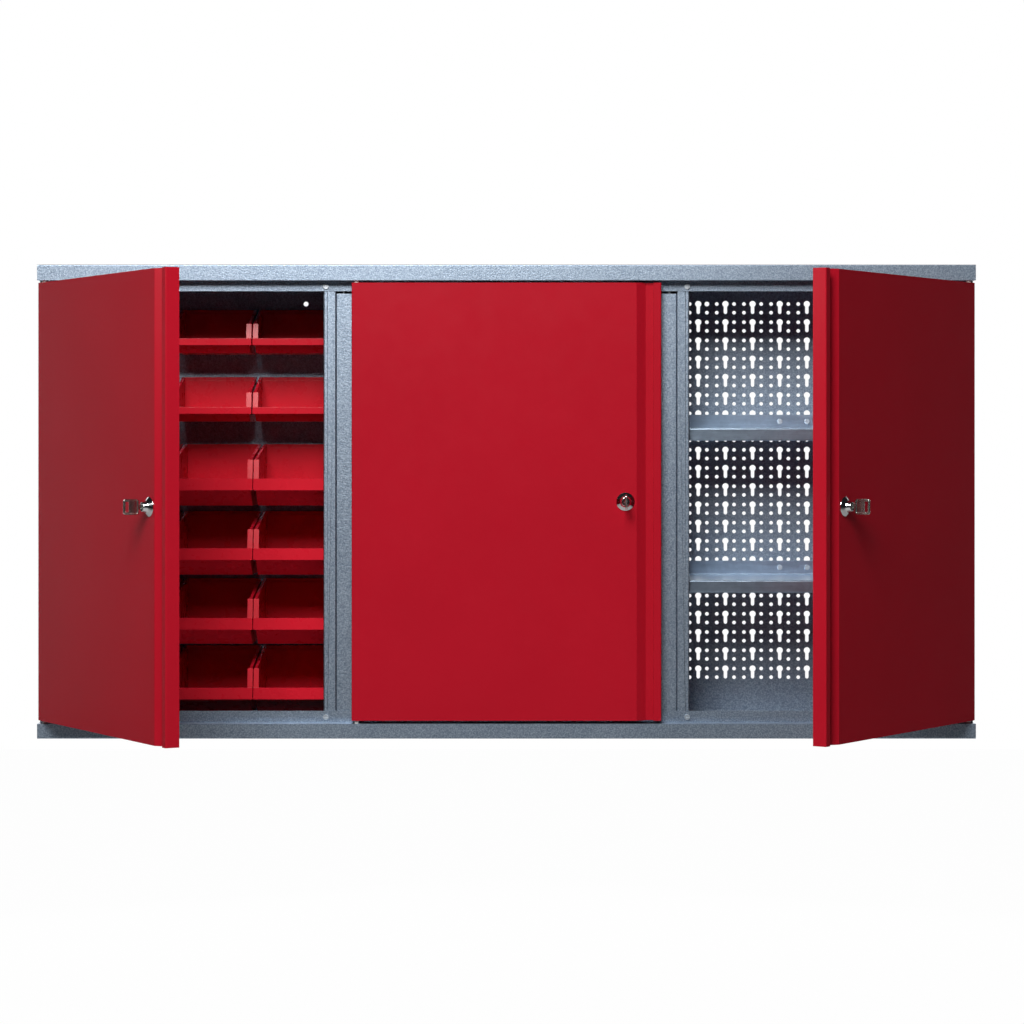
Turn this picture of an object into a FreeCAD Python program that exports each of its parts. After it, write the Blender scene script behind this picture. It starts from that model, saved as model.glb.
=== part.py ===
"""Steel workshop wall cabinet with three lockable doors, hanging bins and a perforated back.

Frame: +X to the viewer's right, +Y into the wall, +Z up. The origin is midway between the two
wall holes, on the rear face of the back panels. The doors stand as they do at rest: left and
right open, centre closed.
"""
import FreeCAD, Part
import os
import re
import Sketcher

# Driving dimensions in millimetres, degrees or counts.
DIMENSIONS = {
    # Carcass
    "cabinet_width": 1200, "cabinet_height": 606, "cabinet_depth": 200,
    "sheet_gauge": 1, "bend_radius": 1.5,
    "top_lip": 20, "bottom_lip": 19, "rebate_depth": 18,
    "top_rail": 13, "bottom_rail": 15,
    "wall_gap": 10, "wall_hole_drop": 41.2, "wall_hole_spacing": 538.8, "wall_hole_diameter": 6.4,
    "flange_width": 16, "partition_offset": 219,
    "post_strip": 56, "post_leg": 30, "post_setback": 2, "post_gap": 3,
    "panel_clearance": 0.5, "cut_overrun": 2,
    # Perforated back
    "keyhole_pitch_across": 36.5, "keyhole_pitch_down": 24.5,
    "keyhole_columns_count": 9, "keyhole_rows_count": 21,
    "perforation_shift": -5.2, "keyhole_head": 8.4, "keyhole_slot": 4.6, "keyhole_drop": 11.1,
    # Doors
    "door_width": 396, "door_thickness": 15, "edge_flange": 17.5, "door_side_gap": 2.5,
    "door_top_gap": 3, "door_bottom_gap": 4, "door_end_flange": 13,
    "groove_bevel": 12, "groove_floor": 9.6, "groove_depth": 8, "grip_strip": 10,
    "pivot_inset": 6, "pivot_depth": 6.5, "pivot_diameter": 4, "pivot_collar": 6,
    "pivot_reach": 5, "pivot_clearance": 0.08, "collar_clearance": 0.3,
    "left_door_turn": 59, "right_door_turn": 55,
    # Locks
    "lock_edge_distance": 46, "rosette_diameter": 23.5, "rosette_nose": 11, "rosette_height": 10,
    "rosette_rim": 0.8, "rosette_waist": 14.4, "rosette_flare": 4.6,
    "barrel_diameter": 16, "barrel_length": 19, "barrel_clearance": 0.15,
    "nut_across": 21, "nut_height": 4, "core_diameter": 9, "core_clearance": 0.06,
    "core_inset": 0.4, "keyway_width": 2.9, "keyway_height": 6.4, "keyway_depth": 20,
    "cam_gauge": 2, "cam_reach": 24, "cam_width": 11, "cam_gap": 0.6,
    "cam_screw_diameter": 7, "cam_screw_head": 2,
    "key_gauge": 2.4, "blade_height": 5.8, "blade_length": 18, "key_neck": 4,
    "bow_length": 19.5, "bow_height": 18.5, "bow_corner": 3, "bow_rim": 2, "bow_recess": 0.7,
    "ring_slot_length": 12, "ring_slot_width": 4, "ring_slot_margin": 3,
    # Shelves
    "shelf_width": 364, "shelf_depth": 158, "shelf_upstand": 19, "shelf_flange": 16,
    "shelf_hem": 8, "shelf_gauge": 1, "shelf_screw_rise": 9.8,
    "upper_shelf_row_count": 6, "lower_shelf_row_count": 14,
    # Screws and nuts
    "screw_head": 7, "screw_head_height": 2.4, "screw_shank": 4, "screw_clearance": 0.1,
    "screw_slot_width": 1, "screw_slot_depth": 1.1, "screw_grip": 6,
    "screw_nut_across": 7, "screw_nut_height": 3.2,
    "rail_screw_offset": 232, "rail_screw_rise": 7,
    # Bin rails and bins
    "bin_rows_pitch": 90, "first_bin_top": 106.5,
    "hanger_height": 14, "hanger_step": 4, "hanger_lip": 6, "hanger_length": 350,
    "hanger_shift": 1,
    "bin_wall": 1.8, "bin_seat": 0.2, "hook_bridge": 2, "hook_tongue": 1.5, "hook_drop": 5,
    "bin_body_inset": 3, "bin_cheek_width": 7, "bin_lip_depth": 5, "bin_cheek_setback": 4,
    "bin_cheek_lean": 9,
    "bin_rim": 5, "bin_rim_inset": 0.8, "bin_rim_step": 0.6,
    "large_bin_width": 104.5, "large_bin_depth": 148, "large_bin_height": 80,
    "large_bin_lip_top": 35.5, "large_bin_lip": 15, "large_bin_cheek": 60, "large_bin_recess": 36,
    "large_bin_pitch": 105.5, "large_bin_split": -327.5,
    "small_bin_width": 102, "small_bin_depth": 94, "small_bin_height": 60,
    "small_bin_lip_top": 18.5, "small_bin_lip": 9, "small_bin_cheek": 38, "small_bin_recess": 20,
    "small_bin_pitch": 103.5, "small_bin_split": -333.5,
}

doc = FreeCAD.newDocument("wall_cabinet")
sheet = doc.addObject("Spreadsheet::Sheet", "dim")
for row, (alias, value) in enumerate(DIMENSIONS.items(), start=1):
    sheet.set(f"A{row}", alias)
    sheet.set(f"B{row}", str(value))
    sheet.setAlias(f"B{row}", alias)
doc.recompute()

# Places worked out from the driving dimensions, as expressions.
FRONT = "(wall_gap - cabinet_depth)"
BOTTOM = "(wall_hole_drop - cabinet_height)"
RAIL_PLANE = f"({FRONT} + rebate_depth)"
FLANGE_PLANE = f"({RAIL_PLANE} + sheet_gauge)"
REAR_FLANGE = "(wall_gap - sheet_gauge)"
PANEL_FACE = "(-sheet_gauge)"
WALL_FOOT = "(sheet_gauge + bend_radius)"
DOOR_FOOT = "(bottom_lip + door_bottom_gap)"
DOOR_HEIGHT = f"(cabinet_height - top_lip - door_top_gap - {DOOR_FOOT})"
DOOR_FACE_END = "(door_width - groove_bevel - groove_floor - grip_strip)"
LOCK_HEIGHT = f"({DOOR_HEIGHT} / 2)"
BAY_CENTRE = "((partition_offset + cabinet_width / 2 - sheet_gauge) / 2)"
PERFORATION_CENTRE = f"({BAY_CENTRE} + perforation_shift)"
CAM_FACE = "(rebate_depth + sheet_gauge + post_setback + sheet_gauge + cam_gap)"

# How close two lengths or two angles are to count as the same.
SAME_SPOT = 1e-4
SAME_LINE = 1e-6

finished = []


def qualified(text):
    """Prefix every sheet alias in an expression with the sheet's name."""
    return re.sub(r"\b[a-z]+(?:_[a-z]+)+\b", lambda found: "dim." + found.group(), text)


def value(text):
    """Work out an expression in millimetres or degrees."""
    return float(sheet.evalExpression(qualified(text)))


def bind(item, name, text):
    """Drive one property of an object by an expression."""
    item.setExpression(name, qualified(text))


def place(item, x="0", y="0", z="0", turn="0", axis=(0, 0, 1)):
    """Put an object at a driven position, turned about one axis."""
    item.Placement = FreeCAD.Placement(
        FreeCAD.Vector(), FreeCAD.Rotation(FreeCAD.Vector(*axis), value(turn)))
    bind(item, "Placement.Base.x", x)
    bind(item, "Placement.Base.y", y)
    bind(item, "Placement.Base.z", z)
    if turn != "0":
        bind(item, "Placement.Rotation.Angle", turn)
    return item


def finish(label, item):
    """Name a finished sub-part and keep it for writing."""
    item.Label = label
    finished.append((label, item))
    return item


def sketch_on(body, plane, name):
    """Start a sketch on one of a body's own origin planes."""
    sketch = body.newObject("Sketcher::SketchObject", name)
    origin = [item for item in body.Origin.OriginFeatures if item.Role == plane][0]
    sketch.AttachmentSupport = [(origin, "")]
    sketch.MapMode = "FlatFace"
    return sketch


def outline(sketch, points):
    """Add a closed polygon whose every corner is driven by expressions."""
    corners = [FreeCAD.Vector(value(x), value(y), 0) for x, y in points]
    lines = []
    for start, end in zip(corners, corners[1:] + corners[:1]):
        lines.append(sketch.addGeometry(Part.LineSegment(start, end), False))
    for line, following in zip(lines, lines[1:] + lines[:1]):
        sketch.addConstraint(Sketcher.Constraint("Coincident", line, 2, following, 1))
    for line, corner, point in zip(lines, corners, points):
        for kind, size, text in zip(("DistanceX", "DistanceY"), corner, point):
            number = sketch.addConstraint(Sketcher.Constraint(kind, -1, 1, line, 1, size))
            bind(sketch, f"Constraints[{number}]", text)


def padded(body, plane, points, length, midplane=False, offset="0"):
    """Pad a driven polygon by a driven length."""
    sketch = sketch_on(body, plane, "profile")
    outline(sketch, points)
    if offset != "0":
        bind(sketch, "AttachmentOffset.Base.z", offset)
    pad = body.newObject("PartDesign::Pad", "pad")
    pad.Profile = sketch
    pad.Midplane = midplane
    bind(pad, "Length", length)
    doc.recompute()
    return pad


def pocketed(body, plane, points, length):
    """Cut a driven polygon out of a body, equally to both sides of the sketch plane."""
    sketch = sketch_on(body, plane, "cut_profile")
    outline(sketch, points)
    before = body.Shape.Volume
    pocket = body.newObject("PartDesign::Pocket", "pocket")
    pocket.Profile = sketch
    pocket.Midplane = True
    bind(pocket, "Length", length)
    doc.recompute()
    if pocket.Shape.Volume >= before:
        raise RuntimeError(f"{body.Name}: a pocket cut nothing")
    return pocket


def bent(body, feature, radius, corners, along="z"):
    """Round the edges that run along one axis through the given corners."""
    others = [name for name in "xyz" if name != along]
    names = []
    for number, edge in enumerate(feature.Shape.Edges, start=1):
        ends = [vertex.Point for vertex in edge.Vertexes]
        if len(ends) != 2 or any(abs(getattr(ends[0] - ends[1], name)) > SAME_LINE for name in others):
            continue
        spot = [getattr(ends[0], name) for name in others]
        if any(max(abs(a - b) for a, b in zip(spot, corner)) < SAME_SPOT for corner in corners):
            names.append(f"Edge{number}")
    fillet = body.newObject("PartDesign::Fillet", "bend")
    fillet.Base = (feature, names)
    bind(fillet, "Radius", radius)
    doc.recompute()
    return fillet


def bend_points(*points):
    """Work out the corners that a bend is applied to."""
    return [(value(x), value(y)) for x, y in points]


def shelled(body, feature, open_normal):
    """Turn a pad into folded sheet, open on the face with the given normal."""
    wanted = FreeCAD.Vector(*open_normal)
    names = []
    for number, face in enumerate(feature.Shape.Faces, start=1):
        flat = isinstance(face.Surface, Part.Plane)
        if flat and face.normalAt(0, 0).getAngle(wanted) < SAME_LINE:
            names.append(f"Face{number}")
    shell = body.newObject("PartDesign::Thickness", "folded_sheet")
    shell.Base = (feature, names)
    shell.Reversed = True
    shell.Join = 0
    bind(shell, "Value", "sheet_gauge")
    doc.recompute()
    return shell


def new_body(name):
    """Start an empty body."""
    return doc.addObject("PartDesign::Body", name)


def cylinder(name, diameter, length, x="0", y="0", z="0", along="z"):
    """A driven cylinder that runs from its place along +X, +Y or +Z."""
    item = doc.addObject("Part::Cylinder", name)
    bind(item, "Radius", f"({diameter}) / 2")
    bind(item, "Height", length)
    axis, turn = {"x": ((0, 1, 0), "90"), "y": ((1, 0, 0), "-90"), "z": ((0, 0, 1), "0")}[along]
    return place(item, x, y, z, turn, axis)


def block(name, size, x="0", y="0", z="0"):
    """A driven box with one corner at its place."""
    item = doc.addObject("Part::Box", name)
    for side, text in zip(("Length", "Width", "Height"), size):
        bind(item, side, text)
    return place(item, x, y, z)


def joined(name, items):
    """One solid made of several overlapping ones."""
    item = doc.addObject("Part::MultiFuse", name)
    item.Shapes = items
    item.Refine = True
    return item


def cut(name, base, tools):
    """A base with every tool taken out of it."""
    item = doc.addObject("Part::Cut", name)
    item.Base = base
    item.Tool = tools[0] if len(tools) == 1 else grouped(name + "_tools", tools)
    return item


def grouped(name, items):
    """Separate solids kept together in one node."""
    item = doc.addObject("Part::Compound", name)
    item.Links = items
    return item


class Door:
    """Names, side and driven placement of one door."""

    def __init__(self, name, hinge_edge, side, turn):
        self.name = name
        self.side = side
        self.turn = turn
        self.pivot_x = f"({hinge_edge} + ({side}) * pivot_inset)"
        self.pivot_y = f"({FRONT} + pivot_depth)"

    def across(self, distance):
        """Distance along the door from its hinge edge, in the door's own frame."""
        return f"(({self.side}) * ({distance} - pivot_inset))"

    def behind(self, distance):
        """Distance behind the door's face, in the door's own frame."""
        return f"({distance} - pivot_depth)"

    def put(self, item, across, behind, up):
        """Place an object whose origin lies at a spot of the door."""
        x = f"{self.pivot_x} + cos({self.turn}) * {across} - sin({self.turn}) * {behind}"
        y = f"{self.pivot_y} + sin({self.turn}) * {across} + cos({self.turn}) * {behind}"
        return place(item, x, y, f"{BOTTOM} + {DOOR_FOOT} + {up}", self.turn)


LEFT_DOOR = Door("left", "(door_side_gap - cabinet_width / 2)", "1", "(-left_door_turn)")
CENTRE_DOOR = Door("centre", "(-door_width / 2)", "1", "0")
RIGHT_DOOR = Door("right", "(cabinet_width / 2 - door_side_gap)", "-1", "right_door_turn")
DOORS = (LEFT_DOOR, CENTRE_DOOR, RIGHT_DOOR)


def tray(label, lip, rail, upside_down):
    """Top or bottom panel: folded tray with a return and a rail behind the doors."""
    body = new_body(label + "_body")
    corners = [("-cabinet_width / 2", FRONT), ("cabinet_width / 2", FRONT),
               ("cabinet_width / 2", "wall_gap"), ("-cabinet_width / 2", "wall_gap")]
    pad = padded(body, "XY_Plane", corners, lip)
    rim = bent(body, pad, "bend_radius", bend_points((FRONT, "0"), ("wall_gap", "0")), "x")
    shelled(body, rim, (0, 0, 1))
    step = [(FRONT, f"{lip} - sheet_gauge"), (FLANGE_PLANE, f"{lip} - sheet_gauge"),
            (FLANGE_PLANE, f"{lip} + {rail}"), (RAIL_PLANE, f"{lip} + {rail}"),
            (RAIL_PLANE, lip), (FRONT, lip)]
    pad = padded(body, "YZ_Plane", step, "cabinet_width - 2 * sheet_gauge", True)
    hand = "-1" if upside_down else "1"
    tools = []
    for door in DOORS:
        tools.append(cylinder("pivot_hole", "pivot_diameter", "sheet_gauge + 2 * cut_overrun",
                              f"({hand}) * {door.pivot_x}", door.pivot_y,
                              f"{lip} - sheet_gauge - cut_overrun"))
    for side in ("-1", "1"):
        tools.append(cylinder("screw_hole", "screw_shank + 2 * screw_clearance",
                              "sheet_gauge + 2 * cut_overrun",
                              f"({side}) * rail_screw_offset", f"{RAIL_PLANE} - cut_overrun",
                              f"{lip} + rail_screw_rise", "y"))
    item = cut(label, body, tools)
    if upside_down:
        place(item, z="wall_hole_drop", turn="180", axis=(0, 1, 0))
    else:
        place(item, z=BOTTOM)
    return finish(label, item)


def upright(label, x, side, screwed):
    """Side panel or partition: a C-folded sheet with both flanges turned to one side."""
    body = new_body(label + "_body")
    depth = f"({REAR_FLANGE} - {FLANGE_PLANE})"
    reach, gauge = f"({side}) * flange_width", f"({side}) * sheet_gauge"
    section = [("0", "0"), (reach, "0"), (reach, "sheet_gauge"), (gauge, "sheet_gauge"),
               (gauge, f"{depth} - sheet_gauge"), (reach, f"{depth} - sheet_gauge"),
               (reach, depth), ("0", depth)]
    pad = padded(body, "XY_Plane", section, f"cabinet_height - 2 * {WALL_FOOT}")
    bent(body, pad, "bend_radius", bend_points(("0", "0"), ("0", depth)))
    item = body
    if screwed:
        tools = []
        for height in (f"bottom_lip + rail_screw_rise - {WALL_FOOT}",
                       f"cabinet_height - top_lip - rail_screw_rise - {WALL_FOOT}"):
            tools.append(cylinder("screw_hole", "screw_shank + 2 * screw_clearance",
                                  "sheet_gauge + 2 * cut_overrun",
                                  f"({side}) * (rail_screw_offset - partition_offset)",
                                  "-cut_overrun", height, "y"))
        item = cut(label, body, tools)
    place(item, x, FLANGE_PLANE, f"{BOTTOM} + {WALL_FOOT}")
    return finish(label, item)


def post(label, side):
    """Angle on a partition whose wide strip the centre door closes against."""
    body = new_body(label + "_body")
    reach, gauge = f"({side}) * post_strip", f"({side}) * sheet_gauge"
    section = [("0", "0"), (reach, "0"), (reach, "sheet_gauge"), (gauge, "sheet_gauge"),
               (gauge, "post_leg"), ("0", "post_leg")]
    pad = padded(body, "XY_Plane", section,
                 "cabinet_height - bottom_lip - top_lip - top_rail - post_gap")
    bent(body, pad, "bend_radius", bend_points(("0", "0")))
    place(body, f"({side}) * (-partition_offset)", f"{FLANGE_PLANE} + post_setback",
          f"{BOTTOM} + bottom_lip")
    return finish(label, body)


def back_pan(label, start, end):
    """Shallow folded panel, flanges to the wall; its rear face is the plane Y = 0."""
    body = new_body(label + "_body")
    rear = f"({REAR_FLANGE} - sheet_gauge)"
    corners = [(start, PANEL_FACE), (end, PANEL_FACE), (end, rear), (start, rear)]
    pad = padded(body, "XY_Plane", corners, f"cabinet_height - 2 * {WALL_FOOT}")
    rim = bent(body, pad, "bend_radius",
               bend_points((start, PANEL_FACE), (end, PANEL_FACE)))
    shelled(body, rim, (0, 1, 0))
    return place(body, z=f"{BOTTOM} + {WALL_FOOT}")


def wall_hole(side):
    """Cutter for one wall hole."""
    return cylinder("wall_hole", "wall_hole_diameter", "sheet_gauge + 2 * cut_overrun",
                    f"({side}) * wall_hole_spacing / 2", f"{PANEL_FACE} - cut_overrun", "0", "y")


def keyhole_place(column, row):
    """Centre of a keyhole's head, as two expressions; the top row is level with the wall holes."""
    middle = "(keyhole_columns_count - 1) / 2"
    x = f"({PERFORATION_CENTRE} + ({column} - {middle}) * keyhole_pitch_across)"
    z = f"(-({row}) * keyhole_pitch_down)"
    return x, z


def keyhole_cutters():
    """Every keyhole of the perforated panel: round head over a narrow round-ended slot."""
    head, slot = value("keyhole_head / 2"), value("keyhole_slot / 2")
    drop, thick = value("keyhole_drop"), value("sheet_gauge + 2 * cut_overrun")
    shoulder = (head ** 2 - slot ** 2) ** (1 / 2)
    left, right = FreeCAD.Vector(-slot, 0, -shoulder), FreeCAD.Vector(slot, 0, -shoulder)
    left_end, right_end = FreeCAD.Vector(-slot, 0, -drop), FreeCAD.Vector(slot, 0, -drop)
    edges = [Part.Arc(left, FreeCAD.Vector(0, 0, head), right).toShape(),
             Part.makeLine(right, right_end),
             Part.Arc(right_end, FreeCAD.Vector(0, 0, -drop - slot), left_end).toShape(),
             Part.makeLine(left_end, left)]
    cutter = Part.Face(Part.Wire(edges)).extrude(FreeCAD.Vector(0, thick, 0))
    copies = []
    for column in range(round(value("keyhole_columns_count"))):
        for row in range(round(value("keyhole_rows_count"))):
            x, z = keyhole_place(column, row)
            spot = FreeCAD.Vector(value(x), value(f"{PANEL_FACE} - cut_overrun"), value(z))
            copies.append(cutter.translated(spot))
    item = doc.addObject("Part::Feature", "keyholes")
    item.Shape = Part.makeCompound(copies)
    return item


def carcass():
    """Panels, partitions, posts and backs."""
    tray("bottom_panel", "bottom_lip", "bottom_rail", False)
    tray("top_panel", "top_lip", "top_rail", True)
    outer = "(cabinet_width / 2 - sheet_gauge)"
    upright("left_side_panel", f"-{outer}", "1", False)
    upright("right_side_panel", outer, "-1", False)
    upright("left_partition", "-partition_offset", "-1", True)
    upright("right_partition", "partition_offset", "1", True)
    post("left_post", "1")
    post("right_post", "-1")
    inner = "(partition_offset + sheet_gauge + panel_clearance)"
    wide = f"({outer} - sheet_gauge - panel_clearance)"
    finish("left_back_panel",
           cut("left_back_panel", back_pan("left_back", f"-{wide}", f"-{inner}"), [wall_hole("-1")]))
    middle = "(partition_offset - panel_clearance)"
    finish("centre_back_panel", back_pan("centre_back", f"-{middle}", middle))
    finish("perforated_back_panel",
           cut("perforated_back_panel", back_pan("right_back", inner, wide),
               [keyhole_cutters(), wall_hole("1")]))


def slotted_screw(name, grip, x, y, z):
    """Slotted cheese-head screw whose head seats at Y = y and whose shank runs along +Y."""
    head = cylinder(name + "_head", "screw_head", "screw_head_height", x,
                    f"{y} - screw_head_height", z, "y")
    shank = cylinder(name + "_shank", "screw_shank", f"{grip} + screw_head_height", x,
                     f"{y} - screw_head_height", z, "y")
    slot = block(name + "_slot", ("screw_head", "screw_slot_depth", "screw_slot_width"),
                 f"{x} - screw_head / 2", f"{y} - screw_head_height", f"{z} - screw_slot_width / 2")
    return cut(name, joined(name + "_blank", [head, shank]), [slot])


def hexagon(name, across, height, bore, x, y, z):
    """Hexagon nut on a Y axis, its front face at Y = y."""
    prism = doc.addObject("Part::Prism", name + "_prism")
    prism.Polygon = 6
    bind(prism, "Circumradius", f"({across}) / 2 / cos(30)")
    bind(prism, "Height", height)
    place(prism, x, y, z, "-90", (1, 0, 0))
    hole = cylinder(name + "_bore", bore, f"{height} + 2 * cut_overrun", x,
                    f"{y} - cut_overrun", z, "y")
    return cut(name, prism, [hole])


def frame_screws():
    """Four slotted screws that hold the rails to the partitions."""
    screws = []
    for side in ("-1", "1"):
        for height in (f"{BOTTOM} + bottom_lip + rail_screw_rise",
                       "wall_hole_drop - top_lip - rail_screw_rise"):
            screws.append(slotted_screw("frame_screw", "screw_grip",
                                        f"({side}) * rail_screw_offset", RAIL_PLANE, height))
    finish("frame_screws", grouped("frame_screws", screws))


def shelf(label, row):
    """Galvanised shelf: back upstand, plate, front flange and hem from one sheet."""
    body = new_body(label + "_body")
    front = "(-shelf_depth)"
    section = [("0", "shelf_upstand"), ("-shelf_gauge", "shelf_upstand"), ("-shelf_gauge", "0"),
               (front, "0"), (front, "-shelf_flange"), (f"{front} + shelf_hem", "-shelf_flange"),
               (f"{front} + shelf_hem", "shelf_gauge - shelf_flange"),
               (f"{front} + shelf_gauge", "shelf_gauge - shelf_flange"),
               (f"{front} + shelf_gauge", "-shelf_gauge"), ("0", "-shelf_gauge")]
    pad = padded(body, "YZ_Plane", section, "shelf_width", True)
    bent(body, pad, "bend_radius",
         bend_points((front, "0"), (front, "-shelf_flange"), ("0", "-shelf_gauge"),
                     ("-shelf_gauge", "0")), "x")
    height = f"({keyhole_place('0', row)[1]} - keyhole_drop - shelf_screw_rise)"
    place(body, PERFORATION_CENTRE, PANEL_FACE, height)
    tools, screws, nuts = [], [], []
    middle = "(keyhole_columns_count - 1) / 2"
    for offset in ("-1", "0", "1"):
        x, z = keyhole_place(f"({middle} + ({offset}))", row)
        z = f"({z} - keyhole_drop)"
        seat = f"({PANEL_FACE} - shelf_gauge)"
        tools.append(cylinder("shelf_hole", "screw_shank + 2 * screw_clearance",
                              "shelf_gauge + 2 * cut_overrun", x, f"{seat} - cut_overrun", z, "y"))
        screws.append(slotted_screw("shelf_screw", "screw_grip", x, seat, z))
        nuts.append(hexagon("shelf_nut", "screw_nut_across", "screw_nut_height",
                            "screw_shank + 2 * screw_clearance", x, "0", z))
    finish(label, cut(label, body, tools))
    return screws, nuts


def shelves():
    """Both shelves and what fixes them in the keyholes."""
    upper_screws, upper_nuts = shelf("upper_shelf", "upper_shelf_row_count")
    lower_screws, lower_nuts = shelf("lower_shelf", "lower_shelf_row_count")
    finish("shelf_screws", grouped("shelf_screws", upper_screws + lower_screws))
    finish("shelf_nuts", grouped("shelf_nuts", upper_nuts + lower_nuts))


def pivot_pins():
    """White pins in the trays, with a collar in the gap above and below each door."""
    pins = []
    low_gap, high_gap = "door_bottom_gap", "door_top_gap"
    for door in DOORS:
        low = f"({BOTTOM} + bottom_lip)"
        high = "(wall_hole_drop - top_lip)"
        shank = "2 * pivot_reach"
        parts = [cylinder("pin", "pivot_diameter", f"{shank} + {low_gap}", door.pivot_x,
                          door.pivot_y, f"{low} - pivot_reach"),
                 cylinder("collar", "pivot_collar", f"{low_gap} - collar_clearance", door.pivot_x,
                          door.pivot_y, low)]
        pins.append(joined("low_pin", parts))
        parts = [cylinder("pin", "pivot_diameter", f"{shank} + {high_gap}", door.pivot_x,
                          door.pivot_y, f"{high} - {high_gap} - pivot_reach"),
                 cylinder("collar", "pivot_collar", f"{high_gap} - collar_clearance", door.pivot_x,
                          door.pivot_y, f"{high} - {high_gap} + collar_clearance")]
        pins.append(joined("high_pin", parts))
    finish("pivot_pins", grouped("pivot_pins", pins))


def door_panel(door):
    """Folded door: hinge flange, face, grip groove, grip strip and edge flange."""
    label = f"{door.name}_door"
    body = new_body(label + "_body")
    ease = "(sheet_gauge * tan(atan(groove_depth / groove_bevel) / 2))"
    bevel_end, step = f"({DOOR_FACE_END} + groove_bevel)", "(door_width - grip_strip)"
    path = [("0", "door_thickness"), ("0", "0"), (DOOR_FACE_END, "0"),
            (bevel_end, "groove_depth"), (step, "groove_depth"), (step, "0"),
            ("door_width", "0"), ("door_width", "edge_flange"),
            ("door_width - sheet_gauge", "edge_flange"),
            ("door_width - sheet_gauge", "sheet_gauge"), (f"{step} + sheet_gauge", "sheet_gauge"),
            (f"{step} + sheet_gauge", "groove_depth + sheet_gauge"),
            (f"{bevel_end} - {ease}", "groove_depth + sheet_gauge"),
            (f"{DOOR_FACE_END} - {ease}", "sheet_gauge"),
            ("sheet_gauge", "sheet_gauge"), ("sheet_gauge", "door_thickness")]
    section = [(door.across(along), door.behind(deep)) for along, deep in path]
    pad = padded(body, "XY_Plane", section, DOOR_HEIGHT)
    corners = [(door.across(along), door.behind("0"))
               for along in ("0", DOOR_FACE_END, "door_width")]
    bent(body, pad, "bend_radius", bend_points(*corners))
    inside = [(door.across(along), door.behind(deep)) for along, deep in
              (("sheet_gauge / 2", "sheet_gauge / 2"),
               (f"{DOOR_FACE_END} - bend_radius", "sheet_gauge / 2"),
               (f"{DOOR_FACE_END} - bend_radius", "door_end_flange"),
               ("sheet_gauge / 2", "door_end_flange"))]
    padded(body, "XY_Plane", inside, "sheet_gauge")
    padded(body, "XY_Plane", inside, "sheet_gauge", False, f"{DOOR_HEIGHT} - sheet_gauge")
    bore = "pivot_diameter + 2 * pivot_clearance"
    tools = [cylinder("pivot_bore", bore, f"{DOOR_HEIGHT} + 2 * cut_overrun", z="-cut_overrun"),
             cylinder("lock_hole", "barrel_diameter + 2 * barrel_clearance",
                      "sheet_gauge + 2 * cut_overrun",
                      door.across("(door_width - lock_edge_distance)"),
                      door.behind("(-cut_overrun)"), LOCK_HEIGHT, "y")]
    item = cut(label, body, tools)
    place(item, door.pivot_x, door.pivot_y, f"{BOTTOM} + {DOOR_FOOT}", door.turn)
    return finish(label, item)


def revolved(name, points):
    """A closed profile of radius and depth turned about the Y axis."""
    body = new_body(name)
    sketch = sketch_on(body, "XY_Plane", "profile")
    outline(sketch, points)
    turned = body.newObject("PartDesign::Revolution", "turned")
    turned.Profile = sketch
    turned.ReferenceAxis = (sketch, ["V_Axis"])
    turned.Angle = 360
    doc.recompute()
    return body


def lock_housing(name):
    """Flared rosette and barrel in one turned piece, bored for the core."""
    bore, barrel = "(core_diameter / 2 + core_clearance)", "barrel_diameter / 2"
    return revolved(name, [
        (bore, "-rosette_height"), ("rosette_nose / 2", "-rosette_height"),
        ("rosette_waist / 2", "-rosette_flare"), ("rosette_diameter / 2", "-rosette_rim"),
        ("rosette_diameter / 2", "0"),
        (barrel, "0"), (barrel, "barrel_length"), (bore, "barrel_length")])


def lock_core(name):
    """Turning core with the keyway cut in from the front."""
    front = "(core_inset - rosette_height)"
    plug = cylinder(name + "_plug", "core_diameter", f"{CAM_FACE} - {front}", "0", front, "0", "y")
    keyway = block(name + "_keyway",
                   ("keyway_width", "keyway_depth + cut_overrun", "keyway_height"),
                   "-keyway_width / 2", f"{front} - cut_overrun", "-keyway_height / 2")
    return cut(name, plug, [keyway])


def lock_cam(name):
    """Round-ended locking tongue, hanging down when unlocked."""
    boss = cylinder(name + "_boss", "cam_width", "cam_gauge", "0", CAM_FACE, "0", "y")
    tongue = block(name + "_tongue", ("cam_width", "cam_gauge", "cam_reach - cam_width / 2"),
                   "-cam_width / 2", CAM_FACE, "cam_width / 2 - cam_reach")
    tip = cylinder(name + "_tip", "cam_width", "cam_gauge", "0", CAM_FACE,
                   "cam_width / 2 - cam_reach", "y")
    return joined(name, [boss, tongue, tip])


def cam_screw(name):
    """Slotted screw head that holds the cam on the core."""
    seat = f"({CAM_FACE} + cam_gauge)"
    head = cylinder(name + "_head", "cam_screw_diameter", "cam_screw_head", "0", seat, "0", "y")
    slot = block(name + "_slot", ("cam_screw_diameter", "cam_screw_head / 2", "screw_slot_width"),
                 "-cam_screw_diameter / 2", f"{seat} + cam_screw_head / 2", "-screw_slot_width / 2")
    return cut(name, head, [slot])


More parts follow.
